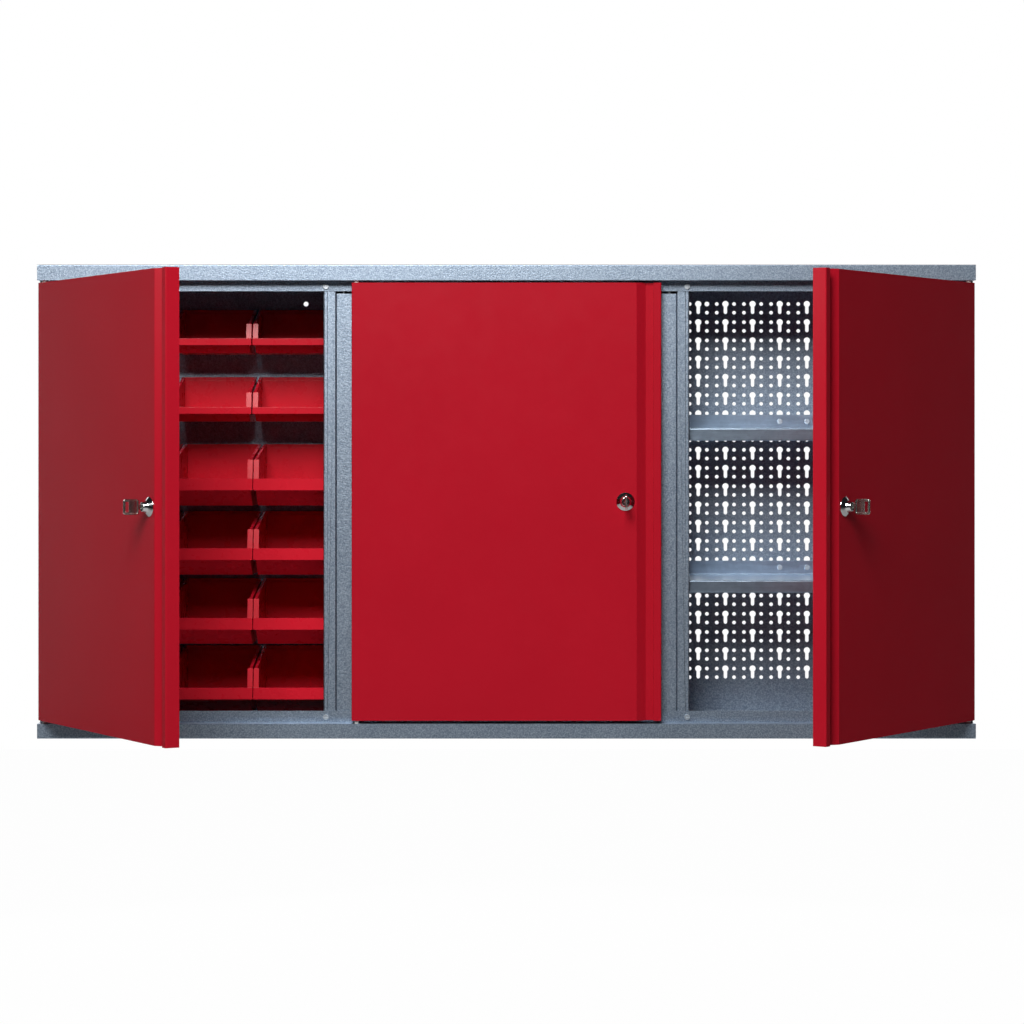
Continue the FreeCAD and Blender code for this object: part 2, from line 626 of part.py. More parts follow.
def key(name):
    """Flat key: blade in the core, neck, and a bow with pressed faces and a slot for a ring."""
    body = new_body(name)
    tip = "(core_inset - rosette_height + blade_length)"
    root = "(core_inset - rosette_height - key_neck)"
    end = f"({root} - bow_length)"
    blade, bow = "blade_height / 2", "bow_height / 2"
    shape = [(tip, f"-{blade}"), (tip, blade), (root, blade), (root, bow), (end, bow),
             (end, f"-{bow}"), (root, f"-{bow}"), (root, f"-{blade}")]
    pad = padded(body, "YZ_Plane", shape, "key_gauge", True)
    bent(body, pad, "bow_corner", bend_points((root, bow), (end, bow), (end, f"-{bow}"),
                                              (root, f"-{bow}")), "x")
    near = f"({end} + ring_slot_margin)"
    far, half = f"({near} + ring_slot_width)", "ring_slot_length / 2"
    pocketed(body, "YZ_Plane", [(near, f"-{half}"), (far, f"-{half}"), (far, half), (near, half)],
             "key_gauge + 2 * cut_overrun")
    panels = []
    for x in ("key_gauge / 2 - bow_recess", "-key_gauge / 2 - cut_overrun"):
        size = ("bow_recess + cut_overrun", "bow_length - 2 * bow_rim", "bow_height - 2 * bow_rim")
        panels.append(block(name + "_panel", size, x, f"{end} + bow_rim", "bow_rim - bow_height / 2"))
    return cut(name + "_pressed", body, panels)


def door_set(door):
    """One door with its lock, nut, core, cam, screw and key."""
    door_panel(door)
    name = door.name
    pieces = {
        "lock_housing": lock_housing(name + "_housing"),
        "lock_nut": hexagon(name + "_nut", "nut_across", "nut_height",
                            "barrel_diameter + 2 * barrel_clearance", "0", "sheet_gauge", "0"),
        "lock_core": lock_core(name + "_core"),
        "lock_cam": lock_cam(name + "_cam"),
        "cam_screw": cam_screw(name + "_cam_screw"),
        "key": key(name + "_key"),
    }
    spot = door.across("(door_width - lock_edge_distance)")
    for kind, item in pieces.items():
        door.put(item, spot, door.behind("0"), LOCK_HEIGHT)
        finish(f"{name}_{kind}", item)


def hanger(height):
    """Rail on the left back panel: flat base, step forward and an upturned lip."""
    body = new_body("hanger")
    step = "(-hanger_step - sheet_gauge)"
    section = [("0", "0"), ("0", "hanger_height"), ("-hanger_step", "hanger_height"),
               ("-hanger_step", "hanger_height + hanger_lip"), (step, "hanger_height + hanger_lip"),
               (step, "hanger_height - sheet_gauge"),
               ("-sheet_gauge", "hanger_height - sheet_gauge"), ("-sheet_gauge", "0")]
    padded(body, "YZ_Plane", section, "hanger_length", True)
    drop = "hanger_height + hanger_lip + hook_bridge + bin_seat"
    return place(body, f"hanger_shift - {BAY_CENTRE}", PANEL_FACE, f"{BOTTOM} + {height} - ({drop})")


def storage_bin(label, size, x, top):
    """Open-fronted bin: low front lip, cheeks, sloped and rimmed side walls, a rear hook."""
    body = new_body(label)
    width, depth, tall = f"{size}_bin_width", f"{size}_bin_depth", f"{size}_bin_height"
    lip_top, recess = f"{size}_bin_lip_top", f"{size}_bin_recess"
    lip_foot, cheek = f"({lip_top} - {size}_bin_lip)", f"{size}_bin_cheek"
    front, fore = f"(-{depth})", f"(bin_lip_depth - {depth})"
    face = f"(bin_cheek_setback - {depth})"
    brow = f"({face} + ({cheek} - {lip_top}) * tan(bin_cheek_lean))"
    slant = f"(({recess} - bin_lip_depth) / {lip_foot})"
    slanted_wall = f"(bin_wall * sqrt(1 + {slant} * {slant}))"
    gap = "(sheet_gauge + 2 * bin_seat)"
    hook = f"({gap} + hook_tongue)"
    profile = [("0", "0"), (f"{recess} + {front}", "0"), (fore, lip_foot), (face, lip_top),
               (brow, cheek), ("0", tall), (hook, tall),
               (hook, f"{tall} - hook_bridge - hook_drop"),
               (gap, f"{tall} - hook_bridge - hook_drop"),
               (gap, f"{tall} - hook_bridge"), ("0", f"{tall} - hook_bridge")]
    padded(body, "YZ_Plane", profile, f"{width} - 2 * bin_body_inset", True)
    rim = [(brow, cheek), ("0", tall), ("0", f"{tall} - bin_rim"),
           (f"{brow} - bin_rim * tan(bin_cheek_lean)", f"{cheek} - bin_rim")]
    padded(body, "YZ_Plane", rim, f"{width} - 2 * bin_rim_inset", True)
    thin = "(bin_rim_step - bin_wall)"
    inside = [("-bin_wall", "bin_wall"),
              (f"{recess} + {front} + {slanted_wall} - bin_wall * {slant}", "bin_wall"),
              (f"{fore} + {slanted_wall}", lip_foot), (f"{face} + bin_wall", lip_top),
              (f"{front} - cut_overrun", lip_top), (f"{front} - cut_overrun", f"{tall} + cut_overrun"),
              (thin, f"{tall} + cut_overrun"), (thin, f"{tall} - bin_rim"),
              ("-bin_wall", f"{tall} - bin_rim")]
    pocketed(body, "YZ_Plane", inside, f"{width} - 2 * bin_body_inset - 2 * bin_wall")
    lip = [(front, lip_foot), (front, lip_top), (f"{face} + bin_wall", lip_top),
           (f"{fore} + bin_wall", lip_foot)]
    padded(body, "YZ_Plane", lip, width, True)
    foot = f"({face} - bin_wall * tan(bin_cheek_lean))"
    plate = [(foot, f"{lip_top} - bin_wall"), (brow, cheek), (f"{brow} + bin_wall", cheek),
             (f"{foot} + bin_wall", f"{lip_top} - bin_wall")]
    for start in (f"-{width} / 2", f"{width} / 2 - bin_cheek_width"):
        padded(body, "YZ_Plane", plate, "bin_cheek_width", False, start)
    gap_behind = "(hanger_step + sheet_gauge + bin_seat)"
    place(body, x, f"{PANEL_FACE} - {gap_behind}", f"{BOTTOM} + {top} - {tall}")
    return finish(label, body)


def bins():
    """Six rows of three bins on their rails: small above, large below."""
    rails = []
    for row, size in enumerate(("large", "large", "large", "large", "small", "small")):
        top = f"(first_bin_top + {row} * bin_rows_pitch)"
        rails.append(hanger(top))
        for column in range(3):
            x = f"({size}_bin_split + ({column} - 3 / 2) * {size}_bin_pitch)"
            storage_bin(f"{size}_bin_{row + 1}_{column + 1}", size, x, top)
    finish("bin_rails", grouped("bin_rails", rails))


def write_parts():
    """Check every object, then write each sub-part to its own file."""
    doc.recompute()
    for item in doc.Objects:
        if {"Invalid", "Error"} & set(item.State):
            raise RuntimeError(f"{item.Name} ({item.Label}) failed: {item.State}")
    os.makedirs("parts", exist_ok=True)
    for label, item in finished:
        if item.Shape.isNull() or not item.Shape.isValid():
            raise RuntimeError(f"{label} has no valid shape")
    for label, item in finished:
        item.Shape.exportStep(f"parts/{label}.step")


carcass()
frame_screws()
shelves()
pivot_pins()
for hung in DOORS:
    door_set(hung)
bins()
write_parts()
print(len(finished), "sub-parts written")
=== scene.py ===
"""Dresses a steel workshop wall cabinet: red doors, hammered grey carcass, bins, shelves and locks.

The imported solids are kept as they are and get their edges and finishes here. The perforated back is
made again with all of its holes. Every length is in metres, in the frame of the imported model.
"""
import logging
import math
from abc import ABC, abstractmethod
from dataclasses import dataclass, field
from enum import Enum
from typing import Any, Iterable, Mapping, Sequence, Union

import bmesh
import bpy
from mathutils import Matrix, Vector
from mathutils.geometry import delaunay_2d_cdt


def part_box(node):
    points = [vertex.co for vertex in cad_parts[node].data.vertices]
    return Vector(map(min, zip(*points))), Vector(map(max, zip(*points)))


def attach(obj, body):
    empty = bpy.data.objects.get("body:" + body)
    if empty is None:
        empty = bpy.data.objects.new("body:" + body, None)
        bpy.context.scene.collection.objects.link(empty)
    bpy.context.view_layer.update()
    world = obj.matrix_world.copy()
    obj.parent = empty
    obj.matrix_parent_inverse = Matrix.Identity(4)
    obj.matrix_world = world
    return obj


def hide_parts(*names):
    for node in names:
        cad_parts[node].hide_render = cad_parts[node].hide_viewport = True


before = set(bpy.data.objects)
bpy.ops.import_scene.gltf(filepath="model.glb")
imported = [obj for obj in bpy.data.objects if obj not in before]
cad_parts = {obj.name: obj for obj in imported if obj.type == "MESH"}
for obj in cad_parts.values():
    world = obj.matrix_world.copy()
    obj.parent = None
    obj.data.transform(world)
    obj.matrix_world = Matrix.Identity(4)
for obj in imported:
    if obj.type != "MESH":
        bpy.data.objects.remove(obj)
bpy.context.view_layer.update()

MM = 0.001
WELD_GAP = 0.001 * MM
ON_RIM = 1e-6
PAINT_EDGE = 0.45 * MM
METAL_EDGE = 0.3 * MM
KEY_EDGE = 0.4 * MM
BIN_EDGE = 0.95 * MM
LOG = logging.getLogger("wall_cabinet")

Colour = tuple[float, float, float]
Point = tuple[float, float]


class Slot(Enum):
    """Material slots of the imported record."""

    HAMMER = "hammer_grey"
    RED_PAINT = "red_paint"
    GALVANISED = "galvanised"
    ZINC = "zinc"
    CHROME = "chrome"
    NICKEL = "nickel"
    NYLON = "nylon"
    RED_PLASTIC = "red_plastic"


class Bay(Enum):
    """The cabinet's three bays, each with a door."""

    LEFT = "left"
    CENTRE = "centre"
    RIGHT = "right"


class Wire:
    """A shader socket on which arithmetic adds Math nodes."""

    def __init__(self, graph: "Graph", socket: bpy.types.NodeSocket) -> None:
        """Keep the socket and the graph that it belongs to."""
        self.graph = graph
        self.socket = socket

    def _maths(self, operation: str, left: "Value", right: "Value") -> "Wire":
        """Add one Math node.

        Args:
            operation: Name of the Math node's operation.
            left: First value.
            right: Second value.

        Returns:
            The node's result.
        """
        return self.graph.add("ShaderNodeMath", {"operation": operation}, {0: left, 1: right})

    def __add__(self, other: "Value") -> "Wire":
        """Sum of two values."""
        return self._maths("ADD", self, other)

    def __radd__(self, other: "Value") -> "Wire":
        """Sum with a number on the left."""
        return self._maths("ADD", other, self)

    def __mul__(self, other: "Value") -> "Wire":
        """Product of two values."""
        return self._maths("MULTIPLY", self, other)

    def __rmul__(self, other: "Value") -> "Wire":
        """Product with a number on the left."""
        return self._maths("MULTIPLY", other, self)

    def __or__(self, other: "Value") -> "Wire":
        """The greater of two masks."""
        return self._maths("MAXIMUM", self, other)

    def __ror__(self, other: "Value") -> "Wire":
        """The greater of a number and a mask."""
        return self._maths("MAXIMUM", other, self)


Value = Union[float, Wire]


class Graph:
    """A node tree that is written as a list of named values."""

    def __init__(self, tree: bpy.types.NodeTree) -> None:
        """Start from an empty tree."""
        self.tree = tree
        tree.nodes.clear()

    def add(self, kind: str, settings: Mapping[str, Any], sockets: Mapping[Any, Any],
            output: Union[int, str] = 0) -> Wire:
        """Add one node.

        Args:
            kind: The node's type.
            settings: Properties set first; "stops" holds a ramp's positions and colours.
            sockets: Values or links of the inputs, by name or number.
            output: Name or number of the output that is used.

        Returns:
            The chosen output.
        """
        node = self.tree.nodes.new(kind)
        for name, setting in settings.items():
            if name == "stops":
                self._stops(node.color_ramp, setting)
            else:
                setattr(node, name, setting)
        for name, value in sockets.items():
            if isinstance(value, Wire):
                self.tree.links.new(value.socket, node.inputs[name])
            else:
                node.inputs[name].default_value = value
        return Wire(self, node.outputs[output]) if len(node.outputs) else Wire(self, None)

    @staticmethod
    def _stops(ramp: bpy.types.ColorRamp, stops: Sequence[tuple[float, float]]) -> None:
        """Set a grey ramp's stops.

        Args:
            ramp: The ramp.
            stops: Position and level of each stop, in order.
        """
        while len(ramp.elements) < len(stops):
            ramp.elements.new(1.0)
        for element, (position, level) in zip(ramp.elements, stops):
            element.position = position
            element.color = (level, level, level, 1.0)

    def place(self) -> Wire:
        """Position in the part's own frame, in metres."""
        return self.add("ShaderNodeTexCoord", {}, {}, "Object")

    def noise(self, size: float, detail: float = 2.0, rough: float = 0.5,
              stretch: Sequence[float] = (1.0, 1.0, 1.0)) -> Wire:
        """Cloudy variation between zero and one.

        Args:
            size: Size of a cloud.
            detail: Number of finer layers.
            rough: Share of the finer layers.
            stretch: Scale of the pattern along X, Y and Z.

        Returns:
            The noise value.
        """
        at = self.place()
        if tuple(stretch) != (1.0, 1.0, 1.0):
            at = self.add("ShaderNodeVectorMath", {"operation": "MULTIPLY"}, {0: at, 1: tuple(stretch)})
        return self.add("ShaderNodeTexNoise", {}, {"Vector": at, "Scale": 1.0 / size, "Detail": detail,
                                                   "Roughness": rough})

    def cells(self, size: float, feature: str = "F1", output: str = "Distance") -> Wire:
        """Cell pattern.

        Args:
            size: Size of a cell.
            feature: The Voronoi node's feature.
            output: The output that is used.

        Returns:
            Distance or colour of the cells.
        """
        return self.add("ShaderNodeTexVoronoi", {"feature": feature},
                        {"Vector": self.place(), "Scale": 1.0 / size}, output)

    def ramp(self, value: Value, *stops: tuple[float, float]) -> Wire:
        """Remap a value by a grey ramp.

        Args:
            value: What is remapped.
            stops: Position and level of each stop.

        Returns:
            The level.
        """
        return self.add("ShaderNodeValToRGB", {"stops": stops}, {"Fac": value})

    def blend(self, share: Value, first: Union[Colour, Wire], second: Union[Colour, Wire]) -> Wire:
        """Mix two colours.

        Args:
            share: Share of the second colour.
            first: Colour at zero.
            second: Colour at one.

        Returns:
            The mixed colour.
        """
        ends = [end if isinstance(end, Wire) else (*end, 1.0) for end in (first, second)]
        return self.add("ShaderNodeMix", {"data_type": "RGBA"}, {0: share, 6: ends[0], 7: ends[1]}, 2)

    def relief(self, height: Value, depth: float, strength: float) -> Wire:
        """Normal of a surface with small relief.

        Args:
            height: Relief between zero and one.
            depth: Depth of the relief.
            strength: How strongly it shows.

        Returns:
            The normal.
        """
        return self.add("ShaderNodeBump", {}, {"Height": height, "Distance": depth, "Strength": strength})


@dataclass(frozen=True)
class Finish(ABC):
    """A surface finish that makes one material."""

    title: str

    def material(self) -> bpy.types.Material:
        """Make the finish's material.

        Returns:
            The material.
        """
        made = bpy.data.materials.new(self.title)
        made.use_nodes = True
        graph = Graph(made.node_tree)
        surface = graph.add("ShaderNodeBsdfPrincipled", {}, self.surface(graph))
        graph.add("ShaderNodeOutputMaterial", {}, {"Surface": surface})
        return made

    @abstractmethod
    def surface(self, graph: Graph) -> dict[str, Any]:
        """Values and links of the surface shader's sockets."""


@dataclass(frozen=True)
class HammerEnamel(Finish):
    """Blue-grey enamel with a hammered, dimpled skin."""

    pale: Colour = (0.42, 0.505, 0.61)
    deep: Colour = (0.12, 0.165, 0.235)
    dimple: float = 1.8 * MM
    grain: float = 1.1 * MM
    fleck: float = 1.7 * MM
    cloud: float = 90 * MM
    relief: float = 0.22 * MM

    def surface(self, graph: Graph) -> dict[str, Any]:
        """Values and links of the surface shader's sockets."""
        dimples = graph.ramp(graph.cells(self.dimple, "SMOOTH_F1"), (0.05, 0.0), (0.62, 1.0))
        grain = graph.noise(self.grain, 2.0)
        flecks = graph.ramp(graph.noise(self.fleck, 3.0, 0.62), (0.38, 0.0), (0.66, 1.0))
        clouds = graph.noise(self.cloud, 1.0)
        tone = flecks * 0.6 + dimples * 0.25 + clouds * 0.15
        return {
            "Base Color": graph.blend(tone, self.deep, self.pale),
            "Metallic": 0.9,
            "Roughness": 0.36 + 0.12 * grain,
            "Specular IOR Level": 0.4,
            "Normal": graph.relief(dimples * 0.6 + flecks * 0.4, self.relief, 0.5),
        }


@dataclass(frozen=True)
class RedEnamel(Finish):
    """Satin-gloss red stove enamel with a faint orange peel."""

    body: Colour = (0.415, 0.0075, 0.020)
    deep: Colour = (0.375, 0.0062, 0.017)
    peel: float = 1.6 * MM
    drift: float = 140 * MM
    rub: float = 22 * MM
    relief: float = 0.05 * MM

    def surface(self, graph: Graph) -> dict[str, Any]:
        """Values and links of the surface shader's sockets."""
        peel = graph.noise(self.peel, 1.0)
        drift = graph.noise(self.drift, 2.0)
        rubbed = graph.noise(self.rub, 3.0)
        return {
            "Base Color": graph.blend(drift, self.deep, self.body),
            "Roughness": 0.20 + 0.08 * rubbed,
            "Specular IOR Level": 0.22,
            "Normal": graph.relief(peel, self.relief, 0.10),
        }


@dataclass(frozen=True)
class GalvanisedSheet(Finish):
    """Bright zinc-coated sheet with a fine spangle and rolling marks."""

    pale: Colour = (0.56, 0.70, 0.86)
    deep: Colour = (0.28, 0.375, 0.51)
    spangle: float = 4.5 * MM
    streak: float = 2.4 * MM
    dust: float = 26 * MM
    relief: float = 0.03 * MM

    def surface(self, graph: Graph) -> dict[str, Any]:
        """Values and links of the surface shader's sockets."""
        spangle = graph.ramp(graph.cells(self.spangle, "F1", "Color"), (0.0, 0.0), (1.0, 1.0))
        rolled = graph.noise(self.streak, 3.0, 0.6, (0.05, 1.0, 1.0))
        dust = graph.noise(self.dust, 3.0)
        tone = spangle * 0.2 + rolled * 0.5 + dust * 0.3
        return {
            "Base Color": graph.blend(tone, self.deep, self.pale),
            "Metallic": 1.0,
            "Roughness": 0.26 + 0.08 * rolled + 0.03 * spangle,
            "Normal": graph.relief(rolled, self.relief, 0.12),
        }


@dataclass(frozen=True)
class PlatedSteel(Finish):
    """Plated steel, from bright chrome to dull zinc."""

    pale: Colour = (0.80, 0.81, 0.82)
    deep: Colour = (0.62, 0.63, 0.65)
    rough: float = 0.08
    worn: float = 0.10
    grain: float = 0.9 * MM
    haze: float = 6 * MM
    relief: float = 0.03 * MM

    def surface(self, graph: Graph) -> dict[str, Any]:
        """Values and links of the surface shader's sockets."""
        haze = graph.noise(self.haze, 3.0)
        marks = graph.noise(self.grain, 2.0, 0.6)
        return {
            "Base Color": graph.blend(haze, self.deep, self.pale),
            "Metallic": 1.0,
            "Roughness": self.rough + self.worn * marks,
            "Normal": graph.relief(marks, self.relief, 0.06),
        }


@dataclass(frozen=True)
class MouldedPlastic(Finish):
    """Moulded plastic with flow marks and a fine grain."""

    body: Colour = (0.60, 0.010, 0.026)
    deep: Colour = (0.52, 0.008, 0.021)
    rough: float = 0.24
    gloss: float = 0.24
    flow: float = 38 * MM
    grain: float = 0.8 * MM
    touch: float = 14 * MM
    relief: float = 0.03 * MM

    def surface(self, graph: Graph) -> dict[str, Any]:
        """Values and links of the surface shader's sockets."""
        flow = graph.noise(self.flow, 2.0)
        grain = graph.noise(self.grain, 2.0)
        handled = graph.noise(self.touch, 3.0)
        return {
            "Base Color": graph.blend(flow, self.deep, self.body),
            "Roughness": self.rough + 0.08 * handled,
            "Specular IOR Level": self.gloss,
            "Normal": graph.relief(grain, self.relief, 0.12),
        }


FINISHES: dict[Slot, Finish] = {
    Slot.HAMMER: HammerEnamel("hammered_grey_enamel"),
    Slot.RED_PAINT: RedEnamel("red_stove_enamel"),
    Slot.GALVANISED: GalvanisedSheet("galvanised_sheet"),
    Slot.ZINC: PlatedSteel("zinc_plate", (0.74, 0.80, 0.86), (0.54, 0.60, 0.67), 0.34, 0.12),
    Slot.CHROME: PlatedSteel("chrome_plate"),
    Slot.NICKEL: PlatedSteel("nickel_plate", (0.74, 0.72, 0.68), (0.52, 0.51, 0.49), 0.16, 0.16),
    Slot.NYLON: MouldedPlastic("white_nylon", (0.78, 0.78, 0.75), (0.70, 0.70, 0.67), 0.42, 0.4),
    Slot.RED_PLASTIC: MouldedPlastic("red_polypropylene"),
}


class Wardrobe:
    """Keeps one material for each slot and dresses pieces with it."""

    def __init__(self, finishes: Mapping[Slot, Finish]) -> None:
        """Make every material once."""
        self.materials = {slot: finish.material() for slot, finish in finishes.items()}

    def dress(self, piece: bpy.types.Object, slot: Slot) -> None:
        """Give a piece its finish.

        Args:
            piece: A mesh object.
            slot: The slot whose finish it takes.
        """
        if not piece.material_slots:
            piece.data.materials.append(None)
        for place in piece.material_slots:
            place.link = "OBJECT"
            place.material = self.materials[slot]
        LOG.info("%s: %s", piece.name, slot.value)


@dataclass
class SolidSet:
    """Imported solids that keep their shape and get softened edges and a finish."""

    names: Sequence[str]
    slot: Slot
    edge: float = 0.25 * MM
    segments: int = 2
    sharp: float = math.radians(32)

    def build(self, wardrobe: Wardrobe) -> None:
        """Soften and dress every solid of the set.

        Args:
            wardrobe: Where the finish comes from.
        """
        for name in self.names:
            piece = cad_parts[name]
            self.soften(piece)
            wardrobe.dress(piece, self.slot)

    def soften(self, piece: bpy.types.Object) -> None:
        """Round a solid's sharp edges.

        Args:
            piece: The solid's object.
        """
        weld = piece.modifiers.new("weld", "WELD")
        weld.merge_threshold = WELD_GAP
        bevel = piece.modifiers.new("soft_edges", "BEVEL")
        bevel.width = self.edge
        bevel.segments = self.segments
        bevel.limit_method = "ANGLE"
        bevel.angle_limit = self.sharp
        bevel.use_clamp_overlap = True
        piece.modifiers.new("even_shading", "WEIGHTED_NORMAL").keep_sharp = False


@dataclass
class PerforatedBack:
    """Back panel of the right bay with keyholes and small round holes."""

    node: str = "perforated_back_panel"
    columns: int = 9
    rows: int = 21
    pitch: Point = (36.5 * MM, 24.5 * MM)
    first: Point = (257.8 * MM, 0.0)
    cell_top: float = 6.5 * MM
    head_radius: float = 4.2 * MM
    slot_radius: float = 2.3 * MM
    slot_drop: float = 11.1 * MM
    small_radius: float = 2.5 * MM
    small_offset: float = 11.6 * MM
    wall_hole_radius: float = 3.2 * MM
    gauge: float = 1.0 * MM
    bend: float = 1.5 * MM
    fold_angle: float = math.radians(60)
    arc_steps: int = 14

    def ring(self, centre: Point, radius: float, steps: int = 12) -> list[Point]:
        """Points of a round hole.

        Args:
            centre: Centre of the hole.
            radius: Radius of the hole.
            steps: Number of points.

        Returns:
            The points, in order.
        """
        turns = (2 * math.pi * step / steps for step in range(steps))
        return [(centre[0] + radius * math.cos(a), centre[1] + radius * math.sin(a)) for a in turns]

    def keyhole(self) -> list[Point]:
        """Points of a keyhole about the centre of its head.

        Returns:
            The points, in order.
        """
        corner = math.asin(self.slot_radius / self.head_radius)
        low, high = -math.pi / 2 + corner, 3 * math.pi / 2 - corner
        head = [low + (high - low) * step / self.arc_steps for step in range(self.arc_steps + 1)]
        points = [(self.head_radius * math.cos(a), self.head_radius * math.sin(a)) for a in head]
        half = self.arc_steps // 2
        foot = [math.pi + math.pi * step / half for step in range(half + 1)]
        points += [(self.slot_radius * math.cos(a), self.slot_radius * math.sin(a) - self.slot_drop)
                   for a in foot]
        return points

    def holes(self, corner_cell: bool) -> list[list[Point]]:
        """Outlines of the holes of one cell.

        Args:
            corner_cell: Whether this is the cell that holds the wall hole.

        Returns:
            One outline for each hole.
        """
        found = [self.keyhole()]
        for across in (-self.small_offset, self.small_offset):
            for down in (0.0, -self.small_offset):
                wall = corner_cell and across > 0 and down == 0.0
                found.append(self.ring((across, down), self.wall_hole_radius if wall else self.small_radius))
        return found

    def cell(self, corner_cell: bool) -> tuple[list[Vector], list[list[int]]]:
        """Flat mesh of one cell, with its holes left open.

        Args:
            corner_cell: Whether this is the cell that holds the wall hole.

        Returns:
            Points and faces about the centre of the keyhole's head.
        """
        half, top = self.pitch[0] / 2, self.cell_top
        border = [(-half, top - self.pitch[1]), (half, top - self.pitch[1]), (half, top), (-half, top)]
        outlines = [border] + self.holes(corner_cell)
        points: list[Vector] = []
        edges: list[tuple[int, int]] = []
        for outline in outlines:
            start, count = len(points), len(outline)
            points += [Vector(point) for point in outline]
            edges += [(start + i, start + (i + 1) % count) for i in range(count)]
        made, _, faces, _, _, _ = delaunay_2d_cdt(points, edges, [], 1, 1e-9)
        kept = []
        for face in faces:
            middle = sum((made[i] for i in face), Vector((0.0, 0.0))) / len(face)
            if not any(inside(middle, outline) for outline in outlines[1:]):
                kept.append(list(face))
        return made, kept

    def build(self, wardrobe: Wardrobe) -> None:
        """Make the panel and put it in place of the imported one.

        Args:
            wardrobe: Where the finish comes from.
        """
        low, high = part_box(self.node)
        net = self.hole_field(low.y)
        self.border(net, low, high)
        bmesh.ops.remove_doubles(net, verts=net.verts, dist=WELD_GAP)
        self.skirt(net, low, high)
        mesh = bpy.data.meshes.new("perforated_sheet")
        net.to_mesh(mesh)
        net.free()
        piece = bpy.data.objects.new("perforated_sheet", mesh)
        bpy.context.scene.collection.objects.link(piece)
        if sum((face.normal.y for face in mesh.polygons)) > 0:
            mesh.flip_normals()
        self.thicken(piece)
        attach(piece, "carcass")
        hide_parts(self.node)
        wardrobe.dress(piece, Slot.HAMMER)

    def hole_field(self, depth: float) -> bmesh.types.BMesh:
        """Lay out the cells of the perforation.

        Args:
            depth: The panel's place along Y.

        Returns:
            The flat field of holes.
        """
        net = bmesh.new()
        plain, special = self.cell(False), self.cell(True)
        for column in range(self.columns):
            for row in range(self.rows):
                points, faces = special if column == row == 0 else plain
                x, z = self.first[0] + column * self.pitch[0], self.first[1] - row * self.pitch[1]
                here = [net.verts.new((x + p.x, depth, z + p.y)) for p in points]
                for face in faces:
                    net.faces.new([here[i] for i in face])
        return net

    @staticmethod
    def skirt(net: bmesh.types.BMesh, low: Vector, high: Vector) -> None:
        """Fold the panel's rim back towards the wall.

        Args:
            net: The flat panel.
            low: Lowest corner of the panel.
            high: Highest corner of the panel.
        """
        rim = [edge for edge in net.edges if edge.is_boundary and all(
            min(abs(v.co.x - low.x), abs(v.co.x - high.x), abs(v.co.z - low.z), abs(v.co.z - high.z)) < ON_RIM
            for v in edge.verts)]
        for item in bmesh.ops.extrude_edge_only(net, edges=rim)["geom"]:
            if isinstance(item, bmesh.types.BMVert):
                item.co.y = high.y
        bmesh.ops.recalc_face_normals(net, faces=net.faces)

    def thicken(self, piece: bpy.types.Object) -> None:
        """Round the panel's folds and give the sheet its gauge.

        Args:
            piece: The panel's object.
        """
        folds = piece.modifiers.new("folds", "BEVEL")
        folds.width, folds.segments, folds.limit_method = self.bend, 3, "ANGLE"
        folds.angle_limit = self.fold_angle
        sheet = piece.modifiers.new("gauge", "SOLIDIFY")
        sheet.thickness, sheet.offset = self.gauge, -1.0

    def border(self, net: bmesh.types.BMesh, low: Vector, high: Vector) -> None:
        """Add the plain strips round the field of holes.

        Args:
            net: The mesh that is added to.
            low: Lowest corner of the panel.
            high: Highest corner of the panel.
        """
        xs = [self.first[0] + (i - 0.5) * self.pitch[0] for i in range(self.columns + 1)]
        zs = [self.first[1] + self.cell_top - i * self.pitch[1] for i in range(self.rows + 1)]
        for a, b in zip(xs, xs[1:]):
            for z, end in ((zs[0], high.z), (zs[-1], low.z)):
                quad(net, low.y, (a, z), (b, z), (b, end), (a, end))
        for a, b in zip(zs, zs[1:]):
            for x, end in ((xs[0], low.x), (xs[-1], high.x)):
                quad(net, low.y, (x, a), (x, b), (end, b), (end, a))
        for x, end_x in ((xs[0], low.x), (xs[-1], high.x)):
            for z, end_z in ((zs[0], high.z), (zs[-1], low.z)):
                quad(net, low.y, (x, z), (end_x, z), (end_x, end_z), (x, end_z))


def inside(point: Vector, outline: Sequence[Point]) -> bool:
    """Whether a point lies inside a closed outline.

    Args:
        point: The point.
        outline: The outline's corners.

    Returns:
        True if it does.
    """
    hit = False
    for (ax, ay), (bx, by) in zip(outline, [*outline[1:], outline[0]]):
        if (ay > point.y) != (by > point.y) and point.x < (bx - ax) * (point.y - ay) / (by - ay) + ax:
            hit = not hit
    return hit


def quad(net: bmesh.types.BMesh, depth: float, *corners: Point) -> None:
    """Add one flat face across the panel.

    Args:
        net: The mesh that is added to.
        depth: The face's place along Y.
        corners: The face's corners along X and Z.
    """
    net.faces.new([net.verts.new((x, depth, z)) for x, z in corners])


@dataclass
class Carcass:
    """Panels, partitions, posts, backs, shelves and their fixings."""

    painted: Sequence[str] = ("top_panel", "bottom_panel", "left_side_panel", "right_side_panel",
                              "left_partition", "right_partition", "left_post", "right_post",
                              "left_back_panel", "centre_back_panel", "bin_rails")
    shelving: Sequence[str] = ("upper_shelf", "lower_shelf")
    fixings: Sequence[str] = ("shelf_screws", "shelf_nuts", "frame_screws")
    perforated: PerforatedBack = field(default_factory=PerforatedBack)

    def build(self, wardrobe: Wardrobe) -> None:
        """Dress the fixed body and make the perforated back.

        Args:
            wardrobe: Where the finishes come from.
        """
        SolidSet(self.painted, Slot.HAMMER, PAINT_EDGE).build(wardrobe)
        SolidSet(self.shelving, Slot.GALVANISED).build(wardrobe)
        SolidSet(self.fixings, Slot.ZINC, METAL_EDGE).build(wardrobe)
        SolidSet(("pivot_pins",), Slot.NYLON, METAL_EDGE).build(wardrobe)
        self.perforated.build(wardrobe)


